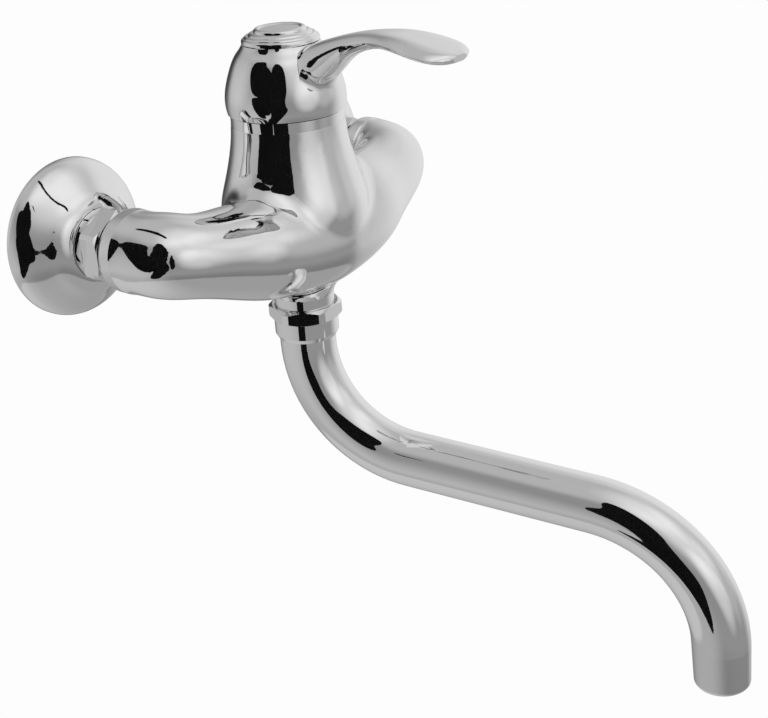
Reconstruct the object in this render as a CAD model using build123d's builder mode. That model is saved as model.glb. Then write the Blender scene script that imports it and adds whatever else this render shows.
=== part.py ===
from build123d import *
from math import acos, atan2, cos, degrees, radians, sin, sqrt
import os

os.makedirs("parts", exist_ok=True)

# Wall-mounted basin mixer, in millimetres. The wall is the plane Y = 0 and the tap stands out along -Y.
# The origin is the point on the wall midway between the two inlets, level with the arms.

# Layout
inlet_spacing = 150.0  # between the two water inlets
running_gap = 0.05  # radial clearance of a piece that turns in another
seat_gap = 0.05  # radial clearance of a piece that stays seated
face_gap = 0.1  # clearance between flat faces that slide or pass each other

# Inlets, from the wall outwards: threads, nuts, seals and filters
inlet_thread_r = 10.48  # G1/2 into the wall
inlet_thread_length = 13.0
inlet_offset = 5.0  # how far each union's wall end sits below its arm
inlet_wall = 3.48  # wall of the union inside that thread
union_thread_r = 13.2  # G3/4 into the nut
union_thread_wall = 5.2
union_shoulder = 0.7  # taper of the union from its thread to the wall end
union_step_y = 6.0
union_grip = 5.8  # thread of the union inside the nut
washer_thickness = 2.0
washer_margin = 0.3  # washer and tail flange inside the nut's thread
washer_bore_margin = 0.2
union_nut_flat_wall = 1.3
union_nut_corner_wall = 3.0
union_nut_collar_wall = 1.6
union_nut_gap = 0.2  # between the rosette and the nut
union_nut_collar = 4.0
union_nut_lip = 3.0
nut_bevel = 1.0  # height of the bevel that trims the corners of a hexagon
bevel_slant = 1.7  # its width for each unit of height
tail_flange = 2.3
tail_neck_step = 2.8
tail_wall = 2.9
tail_thread_length = 11.0
arm_gap = 1.5  # between the nut and the arm
strainer_seat = 1.4  # how far the strainer's rim stands out over the tail's bore
strainer_depth = 9.0
strainer_wall = 0.6
strainer_rim = 1.0
strainer_slots = 8
strainer_slot_width = 2.0
strainer_slot_margin = 1.0  # left between the slots and the rim
strainer_foot = 3.0  # left between the slots and the bottom of the cup
rosette_r = 32.8
rosette_depth = 18.2
rosette_rim = 1.4
rosette_wall = 1.2
rosette_neck_step = 2.0
rosette_boss_length = 10.2  # bore that rides on the union
rosette_outer_share = 0.93  # bell curve: radius and depth of two points as shares of the whole
rosette_outer_depth = 0.34
rosette_inner_share = 0.7
rosette_inner_depth = 0.72

# Crescent arms of the body
arm_r = 17.0
arm_end_round = 3.6  # how far the rounding takes in the arm's wall end
arm_shoulder = 3.2  # length of that rounding
arm_straight = 7.5  # from the arm's wall end to the start of the turn
elbow_inner_r = 0.6  # radius left on the inside of the turn
elbow_turn = 79.0  # degrees
arm_droop = 13.0  # degrees that the arms fall towards the middle
quarter_share = 0.533  # two sections between the turn and the middle, as shares of the way out to the inlet
inner_share = 0.267
quarter_out = 3.7  # how far each section stands out past the end of the turn
inner_out = 7.5
middle_out = 9.3
quarter_fall = 4.4  # how far each section hangs below the end of the turn
inner_fall = 8.1
middle_fall = 9.4
quarter_swell = 3.1  # how much thicker than the arm each section is
inner_swell = 4.2
middle_swell = 4.4
axis_setback = 16.5  # from the start of the turn to the axis that the cartridge and the spout share
inlet_bore_past_turn = 9.5

# Cartridge, from the floor of the cavity up
cavity_floor_z = 8.0
cavity_r = 17.6
base_height = 6.0
port_x = 8.0
port_y = -4.5  # hot and cold ports, in front of the axis
port_r = 3.2
outlet_y = 5.5  # outlet port, behind the axis
outlet_r = 4.2
seal_width = 1.6
seal_depth = 1.6
seal_margin = 0.7
peg_r = 1.5
peg_height = 2.0
peg_x = 11.0
peg_y = 5.0
disc_thickness = 3.5
fixed_disc_play = 0.85
moving_disc_play = 0.55  # left at the end of the moving disc's travel
pocket_depth = 2.2
pocket_half_x = 8.0
pocket_half_y = 6.4
disc_rest_offset = 2.3  # the moving disc stands this far back when the tap is shut
kidney_width = 5.0
kidney_sweep = 40.0
carrier_height = 3.5
carrier_gap = 0.3
key_width = 2.4
key_height = 2.0
key_depth = 1.6
key_inset = 0.4
key_notch = 3.0
lug_width = 3.0
lug_height = 1.2
lug_depth = 3.2
rail_x = 9.0
rail_width = 2.0
rail_height = 1.4
rail_length = 16.0
housing_wall = 1.5
housing_roof = 0.5
housing_collar_step = 2.6
housing_collar_wall = 3.0
housing_collar = 10.0
clip_width = 4.0
clip_height = 4.0
clip_count = 3
clip_start = 30.0  # degrees
rotor_flange_play = 0.45
rotor_flange = 4.7
rotor_stub = 1.0  # rotor above the housing
slot_front = 7.2
slot_back = 8.6
temperature_limit = 50.0  # degrees each way
stop_width = 4.0
stop_depth = 1.9
stop_height = 3.0
stop_root = 0.4  # stop sunk into the housing's wall
stop_clearance = 0.3
stop_slack = 2.0  # degrees

# Spindle
pivot_rise = 4.0  # from the rotor's flange up to the pivot
spindle_side = 8.0
spindle_edge = 0.6
spindle_foot = 5.0  # from the pivot down to the end of the square
spindle_rise = 18.4  # from the foot of the dome up to the end of the square
ball_r = 2.0
ball_neck_r = 1.5
ball_neck_rise = 0.3
ball_neck_flare = 0.8
ball_depth = 1.3  # middle of the ball below the top of the carrier
socket_play = 0.12
spindle_pin_r = 1.5
spindle_pin_length = 22.0
spindle_pin_edge = 0.3
screw_r = 2.0
screw_head_r = 3.8
screw_head = 3.2
screw_length = 12.0
screw_end_gap = 1.0
screw_socket_af = 2.5
screw_socket_depth = 1.9

# Clamp nut and trim ring
lock_wall = 3.4  # from the cavity out to the clamp nut's thread
lock_thread_depth = 6.8
lock_nut_wall = 3.0
lock_nut_head = 3.7
neck_wall = 2.9  # outside that thread
ring_inset = 0.2
ring_height = 4.7
ring_bore_gap = 0.6
ring_lip = 0.8
ring_chamfer = 0.4

# Neck, waist and lower boss of the body
neck_mid_z = 24.0
neck_mid_swell = 1.9
shoulder_z = 12.0
shoulder_swell = 5.2
waist_z = 2.0
waist_swell = 7.7
belly_z = -14.0
belly_swell = 5.1
chin_z = -30.0
chin_r = 20.0
boss_top_z = -40.0
arm_blend_r = 12.0  # fillet between the neck and the arms
canal_r = 4.5
canal_end_z = -4.0
canal_lean = 1.0  # how far outside its port each canal ends
elbow_drop = 0.5  # start of each canal below and inside the middle of its arm
elbow_inset = 1.0
elbow_overlap = 2.0

# Handle: dome, lever and cap, all from the foot of the dome
skirt_play = 0.4
skirt_wall = 0.5
dome_bulge_out = 0.55
dome_bulge_rise = 3.9
dome_shoulder_in = 1.7
dome_shoulder_rise = 15.4
dome_upper_in = 5.5
dome_upper_rise = 23.4
dome_top_in = 8.6
dome_top_rise = 27.6
dome_wall = 1.8
ceiling_flare = 0.9
ceiling_rise = 20.4
hub_wall = 4.5
hub_rise = 6.4
lever_root_blend = 5.0  # fillet under the lever
cap_overhang = 0.1
cap_gap = 0.4
cap_spigot_step = 3.2
cap_spigot = 2.8
cap_rim = 0.5

# Beads of the cap from its rim inwards: run, rise and bulge
cap_beads = [
    (1.1, 1.4, 0.35),
    (1.7, 0.9, 0.35),
    (2.4, 1.2, 0.4),
    (2.7, 0.9, 1.0),
]

# Lever sections: distance from the axis, height over the foot, half width and half thickness
lever_sections = [
    (13.0, 18.0, 11.0, 8.6),
    (21.0, 20.8, 11.0, 8.0),
    (28.0, 24.8, 9.5, 6.2),
    (35.0, 28.2, 8.1, 4.6),
    (46.0, 31.4, 7.6, 3.5),
    (58.0, 32.5, 10.3, 3.1),
    (69.0, 31.3, 13.4, 3.1),
    (77.0, 29.8, 14.2, 2.9),
    (83.4, 28.6, 11.8, 2.5),
    (86.5, 28.1, 7.8, 1.9),
    (87.8, 27.9, 4.4, 1.3),
]
lever_edge_slope = 0.175  # how bluntly the top and bottom faces meet at the side crease

# Spout tube, and the swivel that is sized from it
tube_r = 12.5
tube_wall = 1.5
tube_flange = 1.6
flange_step = 0.6
flange_play = 0.1
flange_float = 0.3
boss_wall = 2.7  # of the body, round the tube's spigot
boss_length = 4.8  # from the chin down to the nut
boss_thread = 9.2
spigot_length = 12.9
spigot_wall = 1.0  # behind the O-rings
o_ring_r = 1.1
o_ring_spacing = 4.6
o_ring_first = 3.0
slip_washer_thickness = 1.5
slip_washer_margin = 0.1
nut_wall = 1.0
nut_flat_wall = 1.55
nut_corner_wall = 3.0
nut_hex_height = 6.2
nut_chamfer = 2.0
nut_foot = 0.6  # width of the flat ring at the foot of the nut
nut_turn = 7.0  # degrees that the hexagon is turned, as tightened
nut_lip = 2.6
nut_sink = 0.8  # bevel inside the top of the nut
spout_heading = 12.0  # degrees that the spout is turned to one side at rest
spout_drop = 4.0
spout_first_bend_r = 52.1
spout_first_turn = 85.5
spout_straight = 84.1
spout_second_bend_r = 62.1
spout_second_turn = 81.2

# Aerator at the end of the spout
outlet_thread = 8.0
outlet_wall = 1.5
sleeve_wall = 0.6
sleeve_taper = 0.4
sleeve_length = 20.0
sleeve_edge_r = 2.0
sleeve_lip = 2.4
insert_flange_play = 0.2
insert_flange_step = 1.1
insert_flange = 1.3
insert_seat = 1.6  # of the insert on the sleeve's lip, and the wall round its hollow
insert_hollow = 4.0
jet_r = 1.5
jet_count = 6
aerator_washer_thickness = 1.6
aerator_washer_width = 3.0

# Radii and widths that follow from the sizes above
union_wall_bore_r = inlet_thread_r - inlet_wall
union_bore_r = union_thread_r - union_thread_wall
union_nut_af = 2 * (union_thread_r + union_nut_flat_wall)
union_nut_corner_r = union_thread_r + union_nut_corner_wall
union_nut_collar_r = union_thread_r + union_nut_collar_wall
tail_neck_r = union_thread_r - tail_neck_step
tail_bore_r = tail_neck_r - tail_wall
rosette_neck_r = union_thread_r + rosette_neck_step
arm_end_r = arm_r - arm_end_round
elbow_bend_r = arm_r + elbow_inner_r
cartridge_r = cavity_r - seat_gap
housing_bore_r = cartridge_r - housing_wall
housing_top_r = cavity_r - housing_collar_step
fixed_disc_r = housing_bore_r - fixed_disc_play
moving_disc_r = housing_bore_r - disc_rest_offset - moving_disc_play
rotor_flange_r = housing_bore_r - rotor_flange_play
rotor_bore_r = rotor_flange_r + running_gap
rotor_neck_r = housing_top_r - housing_collar_wall
lock_thread_r = cavity_r + lock_wall
lock_nut_af = 2 * (housing_top_r + lock_nut_wall)
neck_top_r = lock_thread_r + neck_wall
ring_r = neck_top_r - ring_inset
skirt_r = ring_r + skirt_play
dome_foot_r = skirt_r + skirt_wall
dome_shoulder_r = dome_foot_r - dome_shoulder_in
dome_upper_r = dome_foot_r - dome_upper_in
dome_top_r = dome_foot_r - dome_top_in
hub_r = spindle_side / 2 + hub_wall
cap_r = dome_top_r + cap_overhang
cap_spigot_r = cap_r - cap_spigot_step
tube_flange_r = tube_r + flange_step
boss_r = tube_flange_r + flange_play
thread_r = boss_r - seat_gap
spigot_bore_r = boss_r - boss_wall
spigot_r = spigot_bore_r - running_gap
groove_r = spigot_r - 2 * o_ring_r
nut_body_r = boss_r + nut_wall
nut_af = 2 * (boss_r + nut_flat_wall)
nut_corner_r = boss_r + nut_corner_wall
outlet_thread_r = tube_r - sleeve_wall
outlet_bore_r = outlet_thread_r - outlet_wall
sleeve_end_r = tube_r - sleeve_taper
insert_flange_r = outlet_thread_r - insert_flange_play
insert_r = insert_flange_r - insert_flange_step
insert_hollow_r = insert_r - insert_seat
jet_ring_r = insert_r / 2

# Distances from the wall
inlet_half = inlet_spacing / 2
union_nut_start = rosette_depth + union_nut_gap
union_end_y = union_nut_start + union_grip
tail_face_y = union_end_y + washer_thickness
tail_flange_end = tail_face_y + tail_flange
union_nut_end = tail_flange_end + union_nut_lip
arm_end_y = union_nut_end + arm_gap
elbow_start = arm_end_y + arm_straight
inlet_bore_end = elbow_start + inlet_bore_past_turn
axis_y = -elbow_start - axis_setback
disc_y = axis_y + disc_rest_offset

# Heights up through the cartridge and the handle
base_top_z = cavity_floor_z + base_height
fixed_disc_top_z = base_top_z + disc_thickness
moving_disc_top_z = fixed_disc_top_z + disc_thickness
carrier_top_z = moving_disc_top_z + carrier_height
ball_z = carrier_top_z - ball_depth
rotor_bottom_z = carrier_top_z + carrier_gap
rotor_flange_top_z = rotor_bottom_z + rotor_flange
pivot_z = rotor_flange_top_z + pivot_rise
spindle_bottom_z = pivot_z - spindle_foot
housing_shoulder_z = rotor_flange_top_z + housing_roof
housing_top_z = housing_shoulder_z + housing_collar
rotor_top_z = housing_top_z + rotor_stub
neck_top_z = housing_shoulder_z + lock_thread_depth
lock_nut_top_z = neck_top_z + lock_nut_head
ring_top_z = neck_top_z + ring_height
dome_foot_z = ring_top_z + face_gap
dome_bulge_z = dome_foot_z + dome_bulge_rise
dome_shoulder_z = dome_foot_z + dome_shoulder_rise
dome_upper_z = dome_foot_z + dome_upper_rise
dome_top_z = dome_foot_z + dome_top_rise
dome_ceiling_z = dome_foot_z + ceiling_rise
hub_bottom_z = dome_foot_z + hub_rise
spindle_top_z = dome_foot_z + spindle_rise
cap_bottom_z = dome_top_z + cap_gap
recess_z = cap_bottom_z - cap_spigot - face_gap

# Heights down from the lower boss
nut_top_z = boss_top_z - boss_length
nut_hex_bottom_z = nut_top_z - nut_hex_height
thread_bottom_z = nut_top_z - boss_thread
flange_top_z = thread_bottom_z - slip_washer_thickness
flange_bottom_z = flange_top_z - tube_flange
nut_lip_top_z = flange_bottom_z - flange_float
nut_bottom_z = nut_lip_top_z - nut_lip
spigot_top_z = flange_top_z + spigot_length

axis_plane = Plane(origin=(0, axis_y, 0))
profile_plane = Plane(origin=(0, axis_y, 0), x_dir=(1, 0, 0), z_dir=(0, -1, 0))
vertical_axis = Axis((0, axis_y, 0), (0, 0, 1))
pin_plane = Plane(origin=(0, axis_y, pivot_z), x_dir=(0, 1, 0), z_dir=(1, 0, 0))


def save(part, name):
    """Name a finished piece and write it to its own file."""
    part.label = name
    export_step(part, f"parts/{name}.step")


def lens_section(half_width, half_thickness):
    """Flattened section of the lever, with a crease along each side."""
    slope = lever_edge_slope * half_width / half_thickness
    with BuildSketch() as section:
        with BuildLine():
            Spline(
                (-half_width, 0),
                (0, half_thickness),
                (half_width, 0),
                tangents=[(slope, 1), (slope, -1)],
            )
            Spline(
                (half_width, 0),
                (0, -half_thickness),
                (-half_width, 0),
                tangents=[(-slope, -1), (-slope, 1)],
            )
        make_face()
    return section.sketch


def ring_sector(inner_r, outer_r, middle_angle, half_angle):
    """Piece of a flat ring about the origin."""
    start = middle_angle - half_angle
    with BuildSketch() as sector:
        with BuildLine():
            outer = CenterArc((0, 0), outer_r, start, 2 * half_angle)
            inner = CenterArc((0, 0), inner_r, start, 2 * half_angle)
            Line(outer @ 0, inner @ 0)
            Line(outer @ 1, inner @ 1)
        make_face()
    return sector.sketch


def arm_stations():
    """Centre, direction and radius of the arm sections, from the right inlet to the middle."""
    down_in = Vector(-cos(radians(arm_droop)), 0, -sin(radians(arm_droop)))
    out = Vector(0, -1, 0)
    bend_start = Vector(inlet_half, -elbow_start, 0)
    stations = []
    for share in (0, 1 / 3, 2 / 3, 1):
        turn = radians(elbow_turn * share)
        centre = bend_start + down_in * (elbow_bend_r * (1 - cos(turn))) + out * (elbow_bend_r * sin(turn))
        heading = down_in * sin(turn) + out * cos(turn)
        stations.append((centre, heading, arm_r))
    bend_end = stations[-1][0]
    quarter = Vector(inlet_half * quarter_share, bend_end.Y - quarter_out, bend_end.Z - quarter_fall)
    inner = Vector(inlet_half * inner_share, bend_end.Y - inner_out, bend_end.Z - inner_fall)
    middle = Vector(0, bend_end.Y - middle_out, bend_end.Z - middle_fall)
    past_middle = Vector(-inner.X, inner.Y, inner.Z)
    stations.append((quarter, (inner - bend_end).normalized(), arm_r + quarter_swell))
    stations.append((inner, (middle - quarter).normalized(), arm_r + inner_swell))
    stations.append((middle, (past_middle - inner).normalized(), arm_r + middle_swell))
    return stations


def section_plane(centre, heading):
    """Plane across the arm, with its X direction kept upright."""
    up = Vector(0, 0, 1)
    upright = up - heading * up.dot(heading)
    return Plane(origin=centre, x_dir=upright, z_dir=heading)


def mirrored(station):
    """The same section on the other side of the middle."""
    centre, heading, radius = station
    return Vector(-centre.X, centre.Y, centre.Z), Vector(heading.X, -heading.Y, -heading.Z), radius


# Body: crescent arms, neck, lower boss and waterways
right_stations = arm_stations()
left_stations = [mirrored(station) for station in reversed(right_stations[:-1])]
inlet_plane = {
    side: Plane(origin=(side * inlet_half, 0, 0), x_dir=(1, 0, 0), z_dir=(0, -1, 0))
    for side in (-1, 1)
}
canal_start = [
    Vector(side * (inlet_half - elbow_inset), elbow_overlap - inlet_bore_end, -elbow_drop)
    for side in (-1, 1)
]

with BuildPart() as mixer_body:
    for centre, heading, radius in right_stations + left_stations:
        with BuildSketch(section_plane(centre, heading)):
            Circle(radius)
    loft()
    with BuildSketch(profile_plane):
        with BuildLine():
            side_curve = Spline(
                (neck_top_r, neck_top_z),
                (neck_top_r + neck_mid_swell, neck_mid_z),
                (neck_top_r + shoulder_swell, shoulder_z),
                (neck_top_r + waist_swell, waist_z),
                (neck_top_r + belly_swell, belly_z),
                (chin_r, chin_z),
                (boss_r, boss_top_z),
                tangents=[(0.05, -1), (-0.3, -1)],
            )
            Polyline(
                side_curve @ 1,
                (boss_r, nut_top_z),
                (thread_r, nut_top_z),
                (thread_r, thread_bottom_z),
                (0, thread_bottom_z),
                (0, neck_top_z),
                side_curve @ 0,
            )
        make_face()
    revolve(axis=vertical_axis)
    joint_edges = [
        edge
        for edge in mixer_body.edges().filter_by(GeomType.BSPLINE)
        if abs(edge.position_at(0.5).X) < inlet_half * 0.6
    ]
    fillet(joint_edges, radius=arm_blend_r)
    for side in (-1, 1):
        with BuildSketch(Plane(origin=(side * inlet_half, 0, 0))):
            with BuildLine():
                end_curve = Spline(
                    (arm_end_r, -arm_end_y),
                    (arm_r, -arm_end_y - arm_shoulder),
                    tangents=[(1, -0.25), (0, -1)],
                )
                Polyline(
                    end_curve @ 1,
                    (arm_r, -elbow_start),
                    (0, -elbow_start),
                    (0, -arm_end_y),
                    end_curve @ 0,
                )
            make_face()
        revolve(axis=Axis((side * inlet_half, 0, 0), (0, 1, 0)))
    # Cartridge cavity with the clamp nut's thread above it
    with BuildSketch(axis_plane.offset(cavity_floor_z)):
        Circle(cavity_r)
    extrude(amount=neck_top_z - cavity_floor_z, mode=Mode.SUBTRACT)
    with BuildSketch(axis_plane.offset(housing_shoulder_z)):
        Circle(lock_thread_r)
    extrude(amount=neck_top_z - housing_shoulder_z, mode=Mode.SUBTRACT)
    # Ports, peg holes and outlet in the cavity floor
    with BuildSketch(axis_plane.offset(cavity_floor_z)):
        with Locations((-port_x, port_y), (port_x, port_y)):
            Circle(port_r)
    extrude(amount=canal_end_z - cavity_floor_z, mode=Mode.SUBTRACT)
    with BuildSketch(axis_plane.offset(cavity_floor_z)):
        with Locations((-peg_x, peg_y), (peg_x, peg_y)):
            Circle(peg_r + seat_gap)
    extrude(amount=-peg_height - face_gap, mode=Mode.SUBTRACT)
    with BuildSketch(axis_plane.offset(cavity_floor_z)):
        with Locations((0, outlet_y)):
            Circle(outlet_r)
    extrude(amount=spigot_top_z - cavity_floor_z, mode=Mode.SUBTRACT)
    with BuildSketch(axis_plane.offset(thread_bottom_z)):
        Circle(spigot_bore_r)
    extrude(amount=spigot_top_z - thread_bottom_z + face_gap, mode=Mode.SUBTRACT)
    # Inlet bores with the thread for each tail, and a slanting canal from each to its port
    for side, elbow in zip((-1, 1), canal_start):
        with BuildSketch(inlet_plane[side].offset(arm_end_y)):
            Circle(tail_neck_r + seat_gap)
        extrude(amount=tail_thread_length + face_gap, mode=Mode.SUBTRACT)
        with BuildSketch(inlet_plane[side].offset(arm_end_y)):
            Circle(tail_bore_r)
        extrude(amount=inlet_bore_end - arm_end_y, mode=Mode.SUBTRACT)
        port_foot = Vector(side * (port_x + canal_lean), axis_y + port_y, canal_end_z)
        run = port_foot - elbow
        with BuildSketch(Plane(origin=elbow, z_dir=run.normalized())):
            Circle(canal_r)
        extrude(amount=run.length, mode=Mode.SUBTRACT)
save(mixer_body.part, "mixer_body")

# Inlet fittings, one of each for the hot and the cold side
for side, side_name in ((-1, "left"), (1, "right")):
    arm_plane = inlet_plane[side]
    arm_axis = Axis((side * inlet_half, 0, 0), (0, 1, 0))
    wall_plane = Plane(origin=(side * inlet_half, 0, -inlet_offset), x_dir=(1, 0, 0), z_dir=(0, -1, 0))
    turning_plane = Plane(origin=(side * inlet_half, 0, 0), x_dir=(1, 0, 0), z_dir=(0, 0, 1))

    with BuildPart() as eccentric_union:
        with BuildSketch(wall_plane):
            Circle(inlet_thread_r)
        extrude(amount=-inlet_thread_length)
        with BuildSketch(wall_plane):
            Circle(union_thread_r - union_shoulder)
        with BuildSketch(arm_plane.offset(union_step_y)):
            Circle(union_thread_r)
        loft()
        with BuildSketch(arm_plane.offset(union_step_y)):
            Circle(union_thread_r)
        extrude(amount=union_end_y - union_step_y)
        with BuildSketch(wall_plane.offset(-inlet_thread_length)):
            Circle(union_wall_bore_r)
        extrude(amount=inlet_thread_length, mode=Mode.SUBTRACT)
        with BuildSketch(wall_plane):
            Circle(union_wall_bore_r)
        with BuildSketch(arm_plane.offset(union_step_y)):
            Circle(union_bore_r)
        loft(mode=Mode.SUBTRACT)
        with BuildSketch(arm_plane.offset(union_step_y)):
            Circle(union_bore_r)
        extrude(amount=union_end_y - union_step_y, mode=Mode.SUBTRACT)
    save(eccentric_union.part, f"{side_name}_eccentric_union")

    outer_r = rosette_r * rosette_outer_share
    outer_y = -rosette_depth * rosette_outer_depth
    inner_r = rosette_r * rosette_inner_share
    inner_y = -rosette_depth * rosette_inner_depth
    with BuildPart() as rosette:
        with BuildSketch(turning_plane):
            with BuildLine():
                outside = Spline(
                    (rosette_r, -rosette_rim),
                    (outer_r, outer_y),
                    (inner_r, inner_y),
                    (rosette_neck_r, -rosette_depth),
                    tangents=[(-0.1, -1), (-1, -0.25)],
                )
                inside = Spline(
                    (rosette_r - rosette_wall, -rosette_rim),
                    (outer_r - rosette_wall, outer_y + rosette_wall * 0.6),
                    (inner_r - rosette_wall * 0.6, inner_y + rosette_wall),
                    (rosette_neck_r, -rosette_depth + rosette_wall * 1.4),
                    tangents=[(-0.1, -1), (-1, -0.25)],
                )
                bore_r = union_thread_r + seat_gap
                boss_y = rosette_boss_length - rosette_depth
                Polyline(outside @ 0, (rosette_r, 0), (rosette_r - rosette_wall, 0), inside @ 0)
                Polyline(
                    inside @ 1,
                    (rosette_neck_r, boss_y),
                    (bore_r, boss_y),
                    (bore_r, -rosette_depth),
                    outside @ 1,
                )
            make_face()
        revolve(axis=arm_axis)
    save(rosette.part, f"{side_name}_rosette")

    with BuildPart() as union_nut:
        hex_start = union_nut_start + union_nut_collar
        with BuildSketch(arm_plane.offset(hex_start)):
            RegularPolygon(union_nut_af / 2, 6, major_radius=False, rotation=30)
        extrude(amount=union_nut_end - hex_start)
        with BuildSketch(turning_plane):
            with BuildLine():
                Polyline(
                    (0, -hex_start),
                    (union_nut_corner_r, -hex_start),
                    (union_nut_corner_r, -union_nut_end + nut_bevel),
                    (union_nut_corner_r - bevel_slant * nut_bevel, -union_nut_end),
                    (0, -union_nut_end),
                    (0, -hex_start),
                )
            make_face()
        revolve(axis=arm_axis, mode=Mode.INTERSECT)
        with BuildSketch(arm_plane.offset(union_nut_start)):
            Circle(union_nut_collar_r)
        extrude(amount=union_nut_collar)
        with BuildSketch(arm_plane.offset(union_nut_start)):
            Circle(union_thread_r + seat_gap)
        extrude(amount=tail_flange_end + face_gap - union_nut_start, mode=Mode.SUBTRACT)
        with BuildSketch(arm_plane.offset(union_nut_start)):
            Circle(tail_neck_r + seat_gap)
        extrude(amount=union_nut_end - union_nut_start, mode=Mode.SUBTRACT)
    save(union_nut.part, f"{side_name}_union_nut")

    with BuildPart() as inlet_tail:
        with BuildSketch(arm_plane.offset(tail_face_y)):
            Circle(union_thread_r - washer_margin)
        extrude(amount=tail_flange)
        with BuildSketch(arm_plane.offset(tail_flange_end)):
            Circle(tail_neck_r)
        extrude(amount=arm_end_y + tail_thread_length - tail_flange_end)
        with BuildSketch(arm_plane.offset(tail_face_y)):
            Circle(tail_bore_r)
        extrude(amount=arm_end_y + tail_thread_length - tail_face_y, mode=Mode.SUBTRACT)
        with BuildSketch(arm_plane.offset(tail_face_y)):
            Circle(tail_bore_r + strainer_seat)
        extrude(amount=strainer_rim + face_gap, mode=Mode.SUBTRACT)
    save(inlet_tail.part, f"{side_name}_inlet_tail")

    with BuildPart() as union_washer:
        with BuildSketch(arm_plane.offset(union_end_y)):
            Circle(union_thread_r - washer_margin)
            Circle(union_bore_r + washer_bore_margin, mode=Mode.SUBTRACT)
        extrude(amount=washer_thickness)
    save(union_washer.part, f"{side_name}_union_washer")

    with BuildPart() as strainer:
        cup_r = tail_bore_r - 2 * seat_gap
        with BuildSketch(arm_plane.offset(tail_face_y)):
            Circle(tail_bore_r + strainer_seat - seat_gap)
        extrude(amount=strainer_rim)
        with BuildSketch(arm_plane.offset(tail_face_y)):
            Circle(cup_r)
        extrude(amount=strainer_depth)
        with BuildSketch(arm_plane.offset(tail_face_y)):
            Circle(cup_r - strainer_wall)
        extrude(amount=strainer_depth - strainer_wall, mode=Mode.SUBTRACT)
        with BuildSketch(arm_plane.offset(tail_face_y + strainer_rim + strainer_slot_margin)):
            with PolarLocations(cup_r, strainer_slots):
                Rectangle(3 * strainer_wall, strainer_slot_width)
        extrude(amount=strainer_depth - strainer_rim - strainer_foot, mode=Mode.SUBTRACT)
    save(strainer.part, f"{side_name}_strainer")

# Cartridge, from the floor of the cavity up
with BuildPart() as cartridge_base:
    with BuildSketch(axis_plane.offset(cavity_floor_z)):
        Circle(cartridge_r)
    extrude(amount=base_height)
    with BuildSketch(axis_plane.offset(base_top_z)):
        with Locations((key_inset - fixed_disc_r, 0), (fixed_disc_r - key_inset, 0)):
            Rectangle(key_depth, key_width)
    extrude(amount=key_height)
    with BuildSketch(axis_plane.offset(base_top_z)):
        for count in range(clip_count):
            angle = clip_start + count * 360 / clip_count
            half_angle = degrees(clip_width / 2 / cartridge_r)
            add(ring_sector(housing_bore_r, cartridge_r, angle, half_angle))
    extrude(amount=clip_height)
    with BuildSketch(axis_plane.offset(cavity_floor_z)):
        with Locations((-peg_x, peg_y), (peg_x, peg_y)):
            Circle(peg_r)
    extrude(amount=-peg_height)
    with BuildSketch(axis_plane.offset(cavity_floor_z)):
        with Locations((-port_x, port_y), (port_x, port_y)):
            Circle(port_r)
        with Locations((0, outlet_y)):
            Circle(outlet_r)
    extrude(amount=base_height, mode=Mode.SUBTRACT)
    with BuildSketch(axis_plane.offset(cavity_floor_z)):
        with Locations((-port_x, port_y), (port_x, port_y)):
            Circle(port_r + seal_margin + seal_width)
            Circle(port_r + seal_margin, mode=Mode.SUBTRACT)
        with Locations((0, outlet_y)):
            Circle(outlet_r + seal_margin + seal_width)
            Circle(outlet_r + seal_margin, mode=Mode.SUBTRACT)
    extrude(amount=seal_depth, mode=Mode.SUBTRACT)
save(cartridge_base.part, "cartridge_base")

with BuildPart() as port_seals:
    with BuildSketch(axis_plane.offset(cavity_floor_z)):
        with Locations((-port_x, port_y), (port_x, port_y)):
            Circle(port_r + seal_margin + seal_width - seat_gap)
            Circle(port_r + seal_margin + seat_gap, mode=Mode.SUBTRACT)
        with Locations((0, outlet_y)):
            Circle(outlet_r + seal_margin + seal_width - seat_gap)
            Circle(outlet_r + seal_margin + seat_gap, mode=Mode.SUBTRACT)
    extrude(amount=seal_depth - seat_gap)
save(port_seals.part, "port_seals")

port_ring_r = sqrt(port_x**2 + port_y**2)
port_angle = degrees(atan2(port_y, port_x))
with BuildPart() as fixed_disc:
    with BuildSketch(axis_plane.offset(base_top_z)):
        Circle(fixed_disc_r)
        with Locations((-fixed_disc_r, 0), (fixed_disc_r, 0)):
            Rectangle(key_notch, key_width + 2 * face_gap, mode=Mode.SUBTRACT)
        for middle in (port_angle, 180 - port_angle):
            kidney = CenterArc((0, 0), port_ring_r, middle - kidney_sweep / 2, kidney_sweep)
            SlotArc(kidney, kidney_width, mode=Mode.SUBTRACT)
        with Locations((0, outlet_y)):
            Circle(outlet_r, mode=Mode.SUBTRACT)
    extrude(amount=disc_thickness)
save(fixed_disc.part, "fixed_disc")

disc_plane = Plane(origin=(0, disc_y, 0))
with BuildPart() as moving_disc:
    with BuildSketch(disc_plane.offset(fixed_disc_top_z)):
        Circle(moving_disc_r)
    extrude(amount=disc_thickness)
    with BuildSketch(disc_plane.offset(fixed_disc_top_z)):
        with Locations((0, disc_rest_offset)):
            Ellipse(pocket_half_x, pocket_half_y)
    extrude(amount=pocket_depth, mode=Mode.SUBTRACT)
    with BuildSketch(disc_plane.offset(moving_disc_top_z)):
        with Locations((-moving_disc_r, 0), (moving_disc_r, 0)):
            Rectangle(lug_depth + 2 * face_gap, lug_width + 2 * face_gap)
    extrude(amount=-lug_height - face_gap, mode=Mode.SUBTRACT)
save(moving_disc.part, "moving_disc")

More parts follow.
